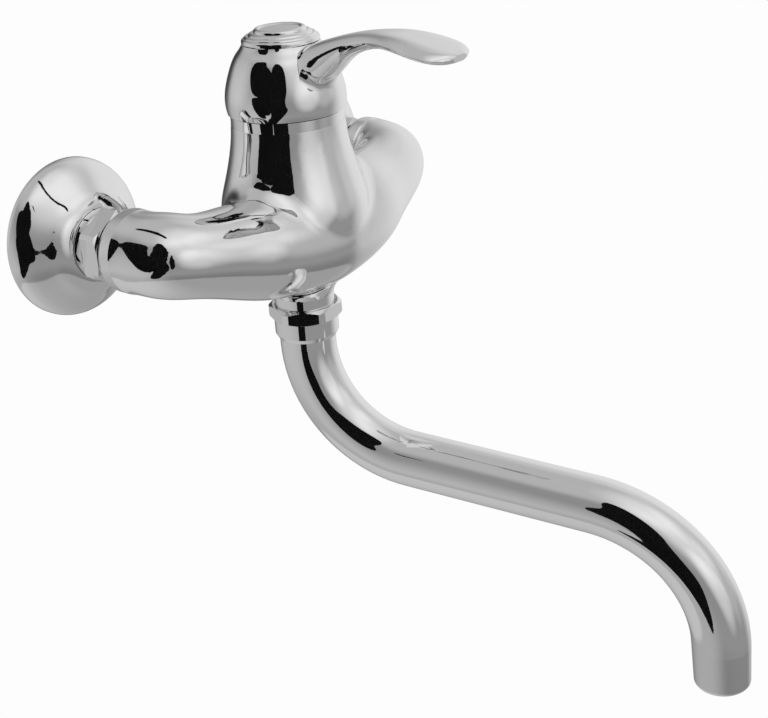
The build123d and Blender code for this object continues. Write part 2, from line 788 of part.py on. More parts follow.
with BuildPart() as disc_carrier:
    with BuildSketch(disc_plane.offset(moving_disc_top_z)):
        Circle(moving_disc_r)
    extrude(amount=carrier_height)
    with BuildSketch(disc_plane.offset(moving_disc_top_z)):
        with Locations((-moving_disc_r, 0), (moving_disc_r, 0)):
            Rectangle(lug_depth, lug_width)
        Circle(moving_disc_r, mode=Mode.INTERSECT)
    extrude(amount=-lug_height)
    with BuildSketch(disc_plane.offset(carrier_top_z)):
        with Locations((-rail_x, 0), (rail_x, 0)):
            Rectangle(rail_width + 2 * face_gap, 2 * moving_disc_r)
    extrude(amount=-rail_height + carrier_gap - 2 * face_gap, mode=Mode.SUBTRACT)
    with BuildSketch(axis_plane.offset(moving_disc_top_z)):
        Circle(ball_r + socket_play)
    extrude(amount=carrier_height, mode=Mode.SUBTRACT)
save(disc_carrier.part, "disc_carrier")

with BuildPart() as cartridge_housing:
    with BuildSketch(profile_plane):
        with BuildLine():
            Polyline(
                (housing_bore_r, base_top_z),
                (cartridge_r, base_top_z),
                (cartridge_r, housing_shoulder_z),
                (housing_top_r, housing_shoulder_z),
                (housing_top_r, housing_top_z),
                (rotor_neck_r + running_gap, housing_top_z),
                (rotor_neck_r + running_gap, rotor_flange_top_z + running_gap),
                (rotor_bore_r, rotor_flange_top_z + running_gap),
                (rotor_bore_r, rotor_bottom_z - face_gap),
                (housing_bore_r, rotor_bottom_z - face_gap),
                (housing_bore_r, base_top_z),
            )
        make_face()
    revolve(axis=vertical_axis)
    with BuildSketch(axis_plane.offset(rotor_flange_top_z - stop_height)):
        with Locations((0, rotor_bore_r - stop_depth / 2)):
            Rectangle(stop_width, stop_depth + stop_root)
    extrude(amount=stop_height + 2 * running_gap)
    with BuildSketch(axis_plane.offset(base_top_z)):
        for count in range(clip_count):
            angle = clip_start + count * 360 / clip_count
            half_angle = degrees((clip_width / 2 + face_gap) / cartridge_r)
            add(ring_sector(housing_bore_r - housing_wall, cartridge_r + housing_wall, angle, half_angle))
    extrude(amount=clip_height + face_gap, mode=Mode.SUBTRACT)
save(cartridge_housing.part, "cartridge_housing")

stop_half_angle = degrees(stop_width / 2 / (rotor_bore_r - stop_depth))
with BuildPart() as rotor:
    with BuildSketch(axis_plane.offset(rotor_bottom_z)):
        Circle(rotor_flange_r)
    extrude(amount=rotor_flange)
    with BuildSketch(axis_plane.offset(rotor_flange_top_z)):
        Circle(rotor_neck_r)
    extrude(amount=rotor_top_z - rotor_flange_top_z)
    with BuildSketch(axis_plane.offset(rotor_bottom_z)):
        with Locations((-rail_x, 0), (rail_x, 0)):
            Rectangle(rail_width, rail_length)
    extrude(amount=-rail_height)
    with BuildSketch(axis_plane.offset(rotor_bottom_z)):
        with Locations((0, (slot_back - slot_front) / 2)):
            Rectangle(spindle_side + 2 * face_gap, slot_front + slot_back)
    extrude(amount=rotor_top_z - rotor_bottom_z, mode=Mode.SUBTRACT)
    with BuildSketch(axis_plane.offset(rotor_flange_top_z - stop_height - face_gap)):
        stop_floor = rotor_bore_r - stop_depth - stop_clearance
        half_sweep = temperature_limit + stop_half_angle + stop_slack
        add(ring_sector(stop_floor, housing_bore_r, 90, half_sweep))
    extrude(amount=stop_height + face_gap, mode=Mode.SUBTRACT)
    with BuildSketch(pin_plane):
        Circle(spindle_pin_r + seat_gap)
    extrude(amount=spindle_pin_length / 2 + face_gap, both=True, mode=Mode.SUBTRACT)
save(rotor.part, "rotor")

with BuildPart() as spindle_pin:
    with BuildSketch(pin_plane):
        Circle(spindle_pin_r)
    extrude(amount=spindle_pin_length / 2, both=True)
    chamfer(spindle_pin.edges().filter_by(GeomType.CIRCLE), length=spindle_pin_edge)
save(spindle_pin.part, "spindle_pin")

with BuildPart() as spindle:
    with BuildSketch(axis_plane.offset(spindle_bottom_z)):
        Rectangle(spindle_side, spindle_side)
    extrude(amount=spindle_top_z - spindle_bottom_z)
    chamfer(spindle.edges().filter_by(Axis.Z), length=spindle_edge)
    with BuildSketch(profile_plane):
        with BuildLine():
            ball_top = sqrt(ball_r**2 - ball_neck_r**2)
            ball_angle = degrees(acos(ball_neck_r / ball_r))
            ball_arc = CenterArc((0, ball_z), ball_r, -90, 90 + ball_angle)
            Polyline(
                ball_arc @ 1,
                (ball_neck_r, ball_z + ball_top + ball_neck_rise),
                (ball_neck_r + ball_neck_flare, spindle_bottom_z),
                (0, spindle_bottom_z),
                ball_arc @ 0,
            )
        make_face()
    revolve(axis=vertical_axis)
    with BuildSketch(pin_plane):
        Circle(spindle_pin_r + running_gap)
    extrude(amount=spindle_side, both=True, mode=Mode.SUBTRACT)
    with BuildSketch(axis_plane.offset(spindle_top_z)):
        Circle(screw_r + seat_gap)
    extrude(amount=-screw_length, mode=Mode.SUBTRACT)
save(spindle.part, "spindle")

with BuildPart() as lock_nut:
    with BuildSketch(axis_plane.offset(housing_shoulder_z)):
        Circle(lock_thread_r - seat_gap)
    extrude(amount=neck_top_z - housing_shoulder_z)
    with BuildSketch(axis_plane.offset(neck_top_z)):
        RegularPolygon(lock_nut_af / 2, 6, major_radius=False)
    extrude(amount=lock_nut_top_z - neck_top_z)
    with BuildSketch(axis_plane.offset(housing_shoulder_z)):
        Circle(housing_top_r + seat_gap)
    extrude(amount=lock_nut_top_z - housing_shoulder_z, mode=Mode.SUBTRACT)
save(lock_nut.part, "lock_nut")

with BuildPart() as trim_ring:
    with BuildSketch(profile_plane):
        with BuildLine():
            Polyline(
                (lock_thread_r + seat_gap, neck_top_z),
                (ring_r, neck_top_z),
                (ring_r, ring_top_z - ring_chamfer),
                (ring_r - ring_chamfer, ring_top_z),
                (housing_top_r + ring_bore_gap, ring_top_z),
                (housing_top_r + ring_bore_gap, ring_top_z - ring_lip),
                (lock_thread_r + seat_gap, ring_top_z - ring_lip),
                (lock_thread_r + seat_gap, neck_top_z),
            )
        make_face()
    revolve(axis=vertical_axis)
save(trim_ring.part, "trim_ring")

# Handle: dome and lever in one casting, hollow below, with a square socket for the spindle
with BuildPart() as handle:
    with BuildSketch(profile_plane):
        with BuildLine():
            dome_curve = Spline(
                (dome_foot_r, dome_foot_z),
                (dome_foot_r + dome_bulge_out, dome_bulge_z),
                (dome_shoulder_r, dome_shoulder_z),
                (dome_upper_r, dome_upper_z),
                (dome_top_r, dome_top_z),
                tangents=[(0.25, 1), (-0.55, 1)],
            )
            Polyline(dome_curve @ 1, (0, dome_top_z), (0, dome_foot_z), dome_curve @ 0)
        make_face()
    revolve(axis=vertical_axis)
    for index, (reach, rise, half_width, half_thickness) in enumerate(lever_sections):
        before = lever_sections[max(index - 1, 0)]
        after = lever_sections[min(index + 1, len(lever_sections) - 1)]
        run = Vector(0, before[0] - after[0], after[1] - before[1]).normalized()
        lever_origin = (0, axis_y - reach, dome_foot_z + rise)
        with BuildSketch(Plane(origin=lever_origin, x_dir=(-1, 0, 0), z_dir=run)):
            add(lens_section(half_width, half_thickness))
    loft()
    under_lever = handle.edges(Select.NEW).sort_by(Axis.Z)[0]
    fillet(under_lever, radius=lever_root_blend)
    with BuildSketch(profile_plane):
        with BuildLine():
            cavity_curve = Spline(
                (skirt_r, dome_bulge_z),
                (dome_shoulder_r - dome_wall, dome_shoulder_z),
                (dome_upper_r - dome_wall + ceiling_flare, dome_ceiling_z),
                tangents=[(0, 1), (-0.6, 1)],
            )
            Polyline(
                cavity_curve @ 1,
                (hub_r, dome_ceiling_z),
                (hub_r, hub_bottom_z),
                (0, hub_bottom_z),
                (0, neck_top_z),
                (skirt_r, neck_top_z),
                cavity_curve @ 0,
            )
        make_face()
    revolve(axis=vertical_axis, mode=Mode.SUBTRACT)
    with BuildSketch(axis_plane.offset(hub_bottom_z)):
        Rectangle(spindle_side + 2 * seat_gap, spindle_side + 2 * seat_gap)
    extrude(amount=spindle_top_z + face_gap - hub_bottom_z, mode=Mode.SUBTRACT)
    with BuildSketch(axis_plane.offset(recess_z)):
        Circle(cap_spigot_r + seat_gap)
    extrude(amount=dome_top_rise, mode=Mode.SUBTRACT)
    with BuildSketch(axis_plane.offset(recess_z - screw_head)):
        Circle(screw_head_r + 2 * seat_gap)
    extrude(amount=screw_head, mode=Mode.SUBTRACT)
    with BuildSketch(axis_plane.offset(spindle_top_z)):
        Circle(screw_r + 2 * seat_gap)
    extrude(amount=recess_z - spindle_top_z, mode=Mode.SUBTRACT)
save(handle.part, "handle")

with BuildPart() as handle_screw:
    with BuildSketch(axis_plane.offset(recess_z - screw_head)):
        Circle(screw_head_r)
    extrude(amount=screw_head - face_gap)
    with BuildSketch(axis_plane.offset(recess_z - screw_head)):
        Circle(screw_r)
    extrude(amount=spindle_top_z - screw_length + screw_end_gap - recess_z + screw_head)
    with BuildSketch(axis_plane.offset(recess_z - face_gap)):
        RegularPolygon(screw_socket_af / 2, 6, major_radius=False)
    extrude(amount=-screw_socket_depth, mode=Mode.SUBTRACT)
save(handle_screw.part, "handle_screw")

with BuildPart() as handle_cap:
    with BuildSketch(profile_plane):
        with BuildLine():
            Polyline(
                (0, cap_bottom_z - cap_spigot),
                (cap_spigot_r, cap_bottom_z - cap_spigot),
                (cap_spigot_r, cap_bottom_z),
                (cap_r, cap_bottom_z),
                (cap_r, cap_bottom_z + cap_rim),
            )
            groove = Vector(cap_r, cap_bottom_z + cap_rim)
            for bead_run, bead_rise, bulge in cap_beads:
                next_groove = groove + Vector(-bead_run, bead_rise)
                crest = (groove + next_groove) / 2 + Vector(bead_rise, bead_run).normalized() * bulge
                ThreePointArc(groove, crest, next_groove)
                groove = next_groove
            Polyline(groove, (0, groove.Y), (0, cap_bottom_z - cap_spigot))
        make_face()
    revolve(axis=vertical_axis)
save(handle_cap.part, "handle_cap")

# Swivel nut with its hexagon at the top and a lip below that holds the tube's flange
with BuildPart() as swivel_nut:
    with BuildSketch(axis_plane.offset(nut_hex_bottom_z)):
        RegularPolygon(nut_af / 2, 6, major_radius=False, rotation=nut_turn)
    extrude(amount=nut_top_z - nut_hex_bottom_z)
    with BuildSketch(profile_plane):
        with BuildLine():
            Polyline(
                (0, nut_top_z),
                (nut_corner_r - bevel_slant * nut_bevel, nut_top_z),
                (nut_corner_r, nut_top_z - nut_bevel),
                (nut_corner_r, nut_hex_bottom_z + nut_bevel),
                (nut_corner_r - bevel_slant * nut_bevel, nut_hex_bottom_z),
                (0, nut_hex_bottom_z),
                (0, nut_top_z),
            )
        make_face()
    revolve(axis=vertical_axis, mode=Mode.INTERSECT)
    with BuildSketch(profile_plane):
        with BuildLine():
            Polyline(
                (0, nut_hex_bottom_z),
                (nut_body_r, nut_hex_bottom_z),
                (nut_body_r, nut_bottom_z + nut_chamfer),
                (tube_r + nut_foot, nut_bottom_z),
                (0, nut_bottom_z),
                (0, nut_hex_bottom_z),
            )
        make_face()
    revolve(axis=vertical_axis)
    with BuildSketch(profile_plane):
        with BuildLine():
            Polyline(
                (0, nut_lip_top_z),
                (boss_r, nut_lip_top_z),
                (boss_r, nut_top_z - nut_sink),
                (boss_r + nut_sink, nut_top_z),
                (0, nut_top_z),
                (0, nut_lip_top_z),
            )
        make_face()
    revolve(axis=vertical_axis, mode=Mode.SUBTRACT)
    with BuildSketch(axis_plane.offset(nut_bottom_z)):
        Circle(tube_r + running_gap)
    extrude(amount=nut_lip, mode=Mode.SUBTRACT)
save(swivel_nut.part, "swivel_nut")

with BuildPart() as slip_washer:
    with BuildSketch(axis_plane.offset(flange_top_z + face_gap)):
        Circle(tube_flange_r - slip_washer_margin)
        Circle(spigot_bore_r + slip_washer_margin, mode=Mode.SUBTRACT)
    extrude(amount=slip_washer_thickness - face_gap)
save(slip_washer.part, "slip_washer")

# Spout: one bent tube with a turned swivel end and a threaded outlet end
heading = Vector(sin(radians(spout_heading)), -cos(radians(spout_heading)), 0)
spout_plane = Plane(origin=(0, axis_y, 0), x_dir=heading, z_dir=heading.cross(Vector(0, 0, 1)))
o_ring_heights = [spigot_top_z - o_ring_first - count * o_ring_spacing for count in range(2)]

with BuildPart() as spout_tube:
    with BuildLine(spout_plane) as spout_path:
        drop = Line((0, flange_bottom_z), (0, nut_bottom_z - spout_drop))
        first_bend = JernArc(drop @ 1, drop % 1, spout_first_bend_r, spout_first_turn)
        run = PolarLine(first_bend @ 1, spout_straight, direction=first_bend % 1)
        second_bend = JernArc(run @ 1, run % 1, spout_second_bend_r, -spout_second_turn)
    with BuildSketch(axis_plane.offset(flange_bottom_z)):
        Circle(tube_r)
        Circle(tube_r - tube_wall, mode=Mode.SUBTRACT)
    sweep()
    outlet_plane = Plane(origin=spout_path.wire() @ 1, z_dir=spout_path.wire() % 1)
    with BuildSketch(profile_plane):
        with BuildLine():
            swivel_points = [
                (tube_flange_r, flange_bottom_z),
                (tube_flange_r, flange_top_z),
                (spigot_r, flange_top_z),
            ]
            for ring_z in reversed(o_ring_heights):
                swivel_points.append((spigot_r, ring_z - o_ring_r - seat_gap))
                swivel_points.append((groove_r, ring_z - o_ring_r - seat_gap))
                swivel_points.append((groove_r, ring_z + o_ring_r + seat_gap))
                swivel_points.append((spigot_r, ring_z + o_ring_r + seat_gap))
            swivel_points.append((spigot_r, spigot_top_z))
            swivel_points.append((groove_r - spigot_wall, spigot_top_z))
            swivel_points.append((groove_r - spigot_wall, flange_bottom_z))
            Polyline(*swivel_points, close=True)
        make_face()
    revolve(axis=vertical_axis)
    with BuildSketch(outlet_plane):
        Circle(outlet_thread_r)
        Circle(outlet_bore_r, mode=Mode.SUBTRACT)
    extrude(amount=outlet_thread)
save(spout_tube.part, "spout_tube")

with BuildPart() as spout_o_rings:
    with BuildSketch(profile_plane):
        with Locations(*[(spigot_r - o_ring_r, ring_z) for ring_z in o_ring_heights]):
            Circle(o_ring_r - seat_gap)
    revolve(axis=vertical_axis)
save(spout_o_rings.part, "spout_o_rings")

# Aerator: sleeve, washer and jet insert, set along the end of the tube
sleeve_profile = Plane(origin=outlet_plane.origin, x_dir=outlet_plane.x_dir, z_dir=-outlet_plane.y_dir)
outlet_axis = Axis(outlet_plane.origin, outlet_plane.z_dir)
washer_top = outlet_thread
insert_top = washer_top + aerator_washer_thickness
insert_step = insert_top + insert_flange + face_gap
with BuildPart() as aerator_sleeve:
    with BuildSketch(sleeve_profile):
        with BuildLine():
            Polyline(
                (outlet_thread_r + seat_gap, 0),
                (tube_r, 0),
                (sleeve_end_r, sleeve_length - sleeve_edge_r),
            )
            edge_round = RadiusArc(
                (sleeve_end_r, sleeve_length - sleeve_edge_r),
                (sleeve_end_r - sleeve_edge_r, sleeve_length),
                -sleeve_edge_r,
            )
            Polyline(
                edge_round @ 1,
                (insert_hollow_r, sleeve_length),
                (insert_hollow_r, sleeve_length - sleeve_lip),
                (insert_r + seat_gap, sleeve_length - sleeve_lip),
                (insert_r + seat_gap, insert_step),
                (outlet_thread_r + seat_gap, insert_step),
                (outlet_thread_r + seat_gap, 0),
            )
        make_face()
    revolve(axis=outlet_axis)
save(aerator_sleeve.part, "aerator_sleeve")

with BuildPart() as aerator_washer:
    with BuildSketch(outlet_plane.offset(washer_top)):
        Circle(insert_flange_r)
        Circle(insert_flange_r - aerator_washer_width, mode=Mode.SUBTRACT)
    extrude(amount=aerator_washer_thickness)
save(aerator_washer.part, "aerator_washer")

with BuildPart() as aerator_insert:
    with BuildSketch(outlet_plane.offset(insert_top)):
        Circle(insert_flange_r)
    extrude(amount=insert_flange)
    with BuildSketch(outlet_plane.offset(insert_top)):
        Circle(insert_r)
    extrude(amount=sleeve_length - sleeve_lip - face_gap - insert_top)
    with BuildSketch(outlet_plane.offset(insert_top)):
        Circle(insert_hollow_r)
    extrude(amount=insert_hollow, mode=Mode.SUBTRACT)
    with BuildSketch(outlet_plane.offset(insert_top)):
        Circle(jet_r)
        with PolarLocations(jet_ring_r, jet_count):
            Circle(jet_r)
    extrude(amount=sleeve_length - insert_top, mode=Mode.SUBTRACT)
save(aerator_insert.part, "aerator_insert")
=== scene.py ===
"""Looks of a wall-mounted basin mixer, dressed over its packed construction.

Each sub-assembly of the tap is a class that holds its own sizes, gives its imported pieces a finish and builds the
pieces that need finer work than the construction holds, such as threads and the jet former of the aerator.
"""

import logging
import math
from dataclasses import dataclass
from enum import Enum
from typing import Any, Mapping, Sequence

import bmesh
import bpy
from mathutils import Matrix, Vector


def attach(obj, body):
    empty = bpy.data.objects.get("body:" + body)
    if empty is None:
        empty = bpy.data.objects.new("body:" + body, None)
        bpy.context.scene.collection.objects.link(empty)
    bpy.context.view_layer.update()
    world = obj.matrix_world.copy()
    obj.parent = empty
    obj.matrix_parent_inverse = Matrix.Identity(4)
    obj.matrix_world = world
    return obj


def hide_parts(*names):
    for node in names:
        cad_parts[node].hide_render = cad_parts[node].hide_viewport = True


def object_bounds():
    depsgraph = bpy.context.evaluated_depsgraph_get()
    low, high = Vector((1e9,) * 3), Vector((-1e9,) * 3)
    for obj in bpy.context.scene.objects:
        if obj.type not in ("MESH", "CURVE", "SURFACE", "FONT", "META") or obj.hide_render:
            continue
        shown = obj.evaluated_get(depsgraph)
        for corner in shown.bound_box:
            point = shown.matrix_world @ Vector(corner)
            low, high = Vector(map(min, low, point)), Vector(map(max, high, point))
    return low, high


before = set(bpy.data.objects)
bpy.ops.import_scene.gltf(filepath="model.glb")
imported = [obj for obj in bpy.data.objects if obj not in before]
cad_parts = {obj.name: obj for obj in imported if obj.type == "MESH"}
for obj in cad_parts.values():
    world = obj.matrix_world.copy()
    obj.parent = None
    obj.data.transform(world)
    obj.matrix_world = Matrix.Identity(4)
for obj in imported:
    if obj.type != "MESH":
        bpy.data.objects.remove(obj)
cad_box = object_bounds()

log = logging.getLogger("basin_mixer")

MM = 0.001
PHOTO_WIDTH = 768

WHITE = (1.0, 1.0, 1.0, 1.0)

Colour = tuple[float, float, float, float]
Loop = list[tuple[float, float, float]]
Outline = tuple[tuple[float, float], ...]


class Body(Enum):
    """Bodies that the new pieces move with."""

    MIXER = "mixer"
    SPOUT = "spout"


class Slot(Enum):
    """Material slots of the record."""

    CHROME = "chrome_plated_brass"
    BRASS = "brass"
    RUBBER = "rubber"
    STEEL = "stainless_steel"
    CARTRIDGE = "cartridge_plastic"
    CERAMIC = "ceramic"
    WASHER = "washer_plastic"


class Signal:
    """A shader socket that takes part in Python arithmetic."""

    def __init__(self, graph: "ShaderGraph", socket: bpy.types.NodeSocket) -> None:
        """Keep the socket and the graph that it belongs to.

        Args:
            graph: The graph that new Math nodes are added to.
            socket: The output socket that carries the value.
        """
        self.graph = graph
        self.socket = socket

    def _math(self, operation: str, first: Any, second: Any) -> "Signal":
        """Add a Math node.

        Args:
            operation: The node's operation.
            first: First operand, a signal or a number.
            second: Second operand, a signal or a number.

        Returns:
            The node's result.
        """
        return self.graph.node("ShaderNodeMath", {"operation": operation}, {0: first, 1: second})

    def __add__(self, other: Any) -> "Signal":
        """Sum."""
        return self._math("ADD", self, other)

    def __radd__(self, other: Any) -> "Signal":
        """Sum with a number on the left."""
        return self._math("ADD", other, self)

    def __sub__(self, other: Any) -> "Signal":
        """Difference."""
        return self._math("SUBTRACT", self, other)

    def __rsub__(self, other: Any) -> "Signal":
        """Difference with a number on the left."""
        return self._math("SUBTRACT", other, self)

    def __mul__(self, other: Any) -> "Signal":
        """Product."""
        return self._math("MULTIPLY", self, other)

    def above(self, limit: Any) -> "Signal":
        """One where the value is over the limit."""
        return self._math("GREATER_THAN", self, limit)

    def ramp(self, low: float, high: float) -> "Signal":
        """Rise smoothly from 0 at low to 1 at high.

        Args:
            low: Value where the rise starts.
            high: Value where the rise ends.

        Returns:
            The eased value, held between 0 and 1.
        """
        settings = {"interpolation_type": "SMOOTHSTEP"}
        return self.graph.node("ShaderNodeMapRange", settings, {0: self, 1: low, 2: high, 3: 0.0, 4: 1.0})


class ShaderGraph:
    """Node tree of one material or of the world."""

    def __init__(self, tree: bpy.types.NodeTree) -> None:
        """Start on an empty tree.

        Args:
            tree: The tree that nodes are added to.
        """
        self.tree = tree
        self.tree.nodes.clear()

    def node(
        self,
        kind: str,
        settings: Mapping[str, Any] | None = None,
        inputs: Mapping[Any, Any] | None = None,
        output: Any = 0,
    ) -> Signal:
        """Add a node, with its settings first and then the values or links of its sockets.

        Args:
            kind: Type of the node.
            settings: Attributes of the node.
            inputs: Values or signals by socket name or number.
            output: Name or number of the output socket that is returned.

        Returns:
            The chosen output as a signal.
        """
        made = self.tree.nodes.new(kind)
        for name, value in (settings or {}).items():
            setattr(made, name, value)
        for name, value in (inputs or {}).items():
            if isinstance(value, Signal):
                self.tree.links.new(value.socket, made.inputs[name])
            else:
                made.inputs[name].default_value = value
        if not made.outputs:
            return Signal(self, None)
        return Signal(self, made.outputs[output])

    def mix_colour(self, share: Any, first: Any, second: Any) -> Signal:
        """Blend two colours.

        Args:
            share: Share of the second colour, from 0 to 1.
            first: Colour where the share is 0.
            second: Colour where the share is 1.

        Returns:
            The blended colour.
        """
        settings = {"data_type": "RGBA"}
        return self.node("ShaderNodeMix", settings, {0: share, 6: first, 7: second}, output=2)

    def place(self) -> Signal:
        """Return the point on the piece at rest, in metres."""
        return self.node("ShaderNodeTexCoord", output="Object")

    def stretched(self, place: Signal, scale: Sequence[float]) -> Signal:
        """Scale a place by a factor along each axis."""
        return self.node("ShaderNodeVectorMath", {"operation": "MULTIPLY"}, {0: place, 1: tuple(scale)})

    def noise(self, place: Signal, size: float, detail: float = 2.0) -> Signal:
        """Add smooth noise.

        Args:
            place: Where the noise is looked up, in metres.
            size: Rough size of one blob in metres.
            detail: Octaves of finer noise.

        Returns:
            Noise between 0 and 1.
        """
        return self.node("ShaderNodeTexNoise", {}, {"Vector": place, "Scale": 1.0 / size, "Detail": detail})

    def bump(self, height: Signal, depth: float) -> Signal:
        """Turn a height between 0 and 1 into a normal.

        Args:
            height: The height signal.
            depth: Height of 1 in metres.

        Returns:
            The bumped normal.
        """
        return self.node("ShaderNodeBump", {}, {"Height": height, "Distance": depth, "Strength": 1.0})

    def output(self, shader: Signal, kind: str = "ShaderNodeOutputMaterial") -> None:
        """Send a shader to the tree's output.

        Args:
            shader: The shader.
            kind: Type of the output node.
        """
        self.node(kind, {}, {"Surface": shader})


def new_material(name: str) -> tuple[bpy.types.Material, ShaderGraph]:
    """Make an empty material.

    Args:
        name: Name of the material.

    Returns:
        The material and its graph.
    """
    made = bpy.data.materials.new(name)
    made.use_nodes = True
    return made, ShaderGraph(made.node_tree)


def link_object(name: str, data: Any) -> bpy.types.Object:
    """Make an object from a mesh or a camera and put it in the scene.

    Args:
        name: Name of the object.
        data: What the object shows.

    Returns:
        The new object.
    """
    made = bpy.data.objects.new(name, data)
    bpy.context.scene.collection.objects.link(made)
    return made


@dataclass(frozen=True)
class Finish:
    """What every finish has: its name, base colour and gloss."""

    name: str
    colour: Colour
    roughness: float
    metallic: float = 0.0
    coat: float = 0.0

    def material(self) -> bpy.types.Material:
        """Build the material once and return it."""
        made = bpy.data.materials.get(self.name)
        if made is None:
            made, graph = new_material(self.name)
            sockets = {
                "Base Color": self.colour,
                "Roughness": self.roughness,
                "Metallic": self.metallic,
                "Coat Weight": self.coat,
            }
            sockets.update(self.surface(graph))
            shader = graph.node("ShaderNodeBsdfPrincipled", {}, sockets)
            graph.output(shader)
            made.diffuse_color = self.colour
        return made

    def surface(self, graph: ShaderGraph) -> dict[str, Any]:
        """Return the sockets that vary over the surface."""
        return {}

    def shade(self, factor: float) -> Colour:
        """Return the base colour made lighter or darker by a factor."""
        return (self.colour[0] * factor, self.colour[1] * factor, self.colour[2] * factor, 1.0)


@dataclass(frozen=True)
class PolishedChrome(Finish):
    """Chrome plate over buffed brass: a faint orange peel, hairlines from wiping and a trace of water film."""

    peel_size: float = 2.2 * MM
    peel_depth: float = 0.0005 * MM
    hairline_length: float = 6.0 * MM
    hairline_width: float = 0.05 * MM
    hairline_range: tuple[float, float] = (0.56, 0.74)
    hairline_gloss: float = 0.012
    film_size: float = 9.0 * MM
    film_range: tuple[float, float] = (0.5, 0.8)
    film_gloss: float = 0.018
    film_share: float = 0.6
    film_tint: float = 0.985

    def surface(self, graph: ShaderGraph) -> dict[str, Any]:
        """Vary gloss by hairlines and film, and the normal by orange peel.

        Args:
            graph: The graph of the material.

        Returns:
            Values of the sockets that vary.
        """
        place = graph.place()
        film = graph.noise(place, self.film_size, 3.0).ramp(*self.film_range)
        wiped = graph.stretched(place, (1.0, 1.0, self.hairline_length / self.hairline_width))
        hairlines = graph.noise(wiped, self.hairline_length).ramp(*self.hairline_range)
        peel = graph.noise(place, self.peel_size, 1.0)
        roughness = self.roughness + film * self.film_gloss + hairlines * self.hairline_gloss
        tint = graph.mix_colour(film * self.film_share, self.colour, self.shade(self.film_tint))
        return {"Base Color": tint, "Roughness": roughness, "Normal": graph.bump(peel, self.peel_depth)}


@dataclass(frozen=True)
class TurnedMetal(Finish):
    """Bare metal from the lathe: fine rings from the tool and cloudy tarnish."""

    ring_pitch: float = 0.18 * MM
    ring_depth: float = 0.004 * MM
    ring_gloss: float = 0.05
    ring_stretch: float = 0.02
    tarnish_size: float = 3.5 * MM
    tarnish_range: tuple[float, float] = (0.42, 0.7)
    tarnish_gloss: float = 0.14
    tarnish: float = 0.75

    def surface(self, graph: ShaderGraph) -> dict[str, Any]:
        """Vary colour and gloss by tarnish and the normal by tool rings.

        Args:
            graph: The graph of the material.

        Returns:
            Values of the sockets that vary.
        """
        place = graph.place()
        cloud = graph.noise(place, self.tarnish_size, 4.0).ramp(*self.tarnish_range)
        spun = graph.stretched(place, (self.ring_stretch, 1.0, self.ring_stretch))
        rings = graph.noise(spun, self.ring_pitch, 1.0)
        colour = graph.mix_colour(cloud, self.colour, self.shade(self.tarnish))
        roughness = self.roughness + cloud * self.tarnish_gloss + rings * self.ring_gloss
        return {"Base Color": colour, "Roughness": roughness, "Normal": graph.bump(rings, self.ring_depth)}


@dataclass(frozen=True)
class MouldedPlastic(Finish):
    """Moulded plastic: a fine grain, flow clouds and rubbed gloss."""

    grain_size: float = 0.12 * MM
    grain_depth: float = 0.006 * MM
    grain_gloss: float = 0.1
    cloud_size: float = 5.0 * MM
    cloud_gloss: float = 0.05
    cloud_tint: float = 0.94

    def surface(self, graph: ShaderGraph) -> dict[str, Any]:
        """Vary colour by flow clouds and the normal by grain.

        Args:
            graph: The graph of the material.

        Returns:
            Values of the sockets that vary.
        """
        place = graph.place()
        cloud = graph.noise(place, self.cloud_size, 3.0)
        grain = graph.noise(place, self.grain_size)
        colour = graph.mix_colour(cloud, self.colour, self.shade(self.cloud_tint))
        roughness = self.roughness + grain * self.grain_gloss + cloud * self.cloud_gloss
        return {"Base Color": colour, "Roughness": roughness, "Normal": graph.bump(grain, self.grain_depth)}


@dataclass(frozen=True)
class SealRubber(Finish):
    """Black rubber: bloom in pale clouds over a matt grain."""

    grain_size: float = 0.2 * MM
    grain_depth: float = 0.012 * MM
    grain_gloss: float = 0.12
    bloom_size: float = 2.5 * MM
    bloom_range: tuple[float, float] = (0.5, 0.85)
    bloom_share: float = 0.5
    bloom_colour: Colour = (0.11, 0.11, 0.11, 1.0)

    def surface(self, graph: ShaderGraph) -> dict[str, Any]:
        """Vary colour by bloom and the normal by grain.

        Args:
            graph: The graph of the material.

        Returns:
            Values of the sockets that vary.
        """
        place = graph.place()
        bloom = graph.noise(place, self.bloom_size, 4.0).ramp(*self.bloom_range)
        grain = graph.noise(place, self.grain_size)
        colour = graph.mix_colour(bloom * self.bloom_share, self.colour, self.bloom_colour)
        roughness = self.roughness + grain * self.grain_gloss
        return {"Base Color": colour, "Roughness": roughness, "Normal": graph.bump(grain, self.grain_depth)}


@dataclass(frozen=True)
class LappedCeramic(Finish):
    """Lapped alumina: almost even, with fine crossing scratches from lapping."""

    scratch_length: float = 2.0 * MM
    scratch_width: float = 0.03 * MM
    scratch_range: tuple[float, float] = (0.55, 0.75)
    scratch_gloss: float = 0.12
    scratch_tint: float = 0.95

    def surface(self, graph: ShaderGraph) -> dict[str, Any]:
        """Vary colour and gloss by two sets of lapping scratches.

        Args:
            graph: The graph of the material.

        Returns:
            Values of the sockets that vary.
        """
        place = graph.place()
        thin = self.scratch_length / self.scratch_width
        along, across = (
            graph.noise(graph.stretched(place, scale), self.scratch_length, 1.0).ramp(*self.scratch_range)
            for scale in ((thin, 1.0, 1.0), (1.0, thin, 1.0))
        )
        scratches = along * 0.5 + across * 0.5
        colour = graph.mix_colour(scratches, self.colour, self.shade(self.scratch_tint))
        return {"Base Color": colour, "Roughness": self.roughness + scratches * self.scratch_gloss}


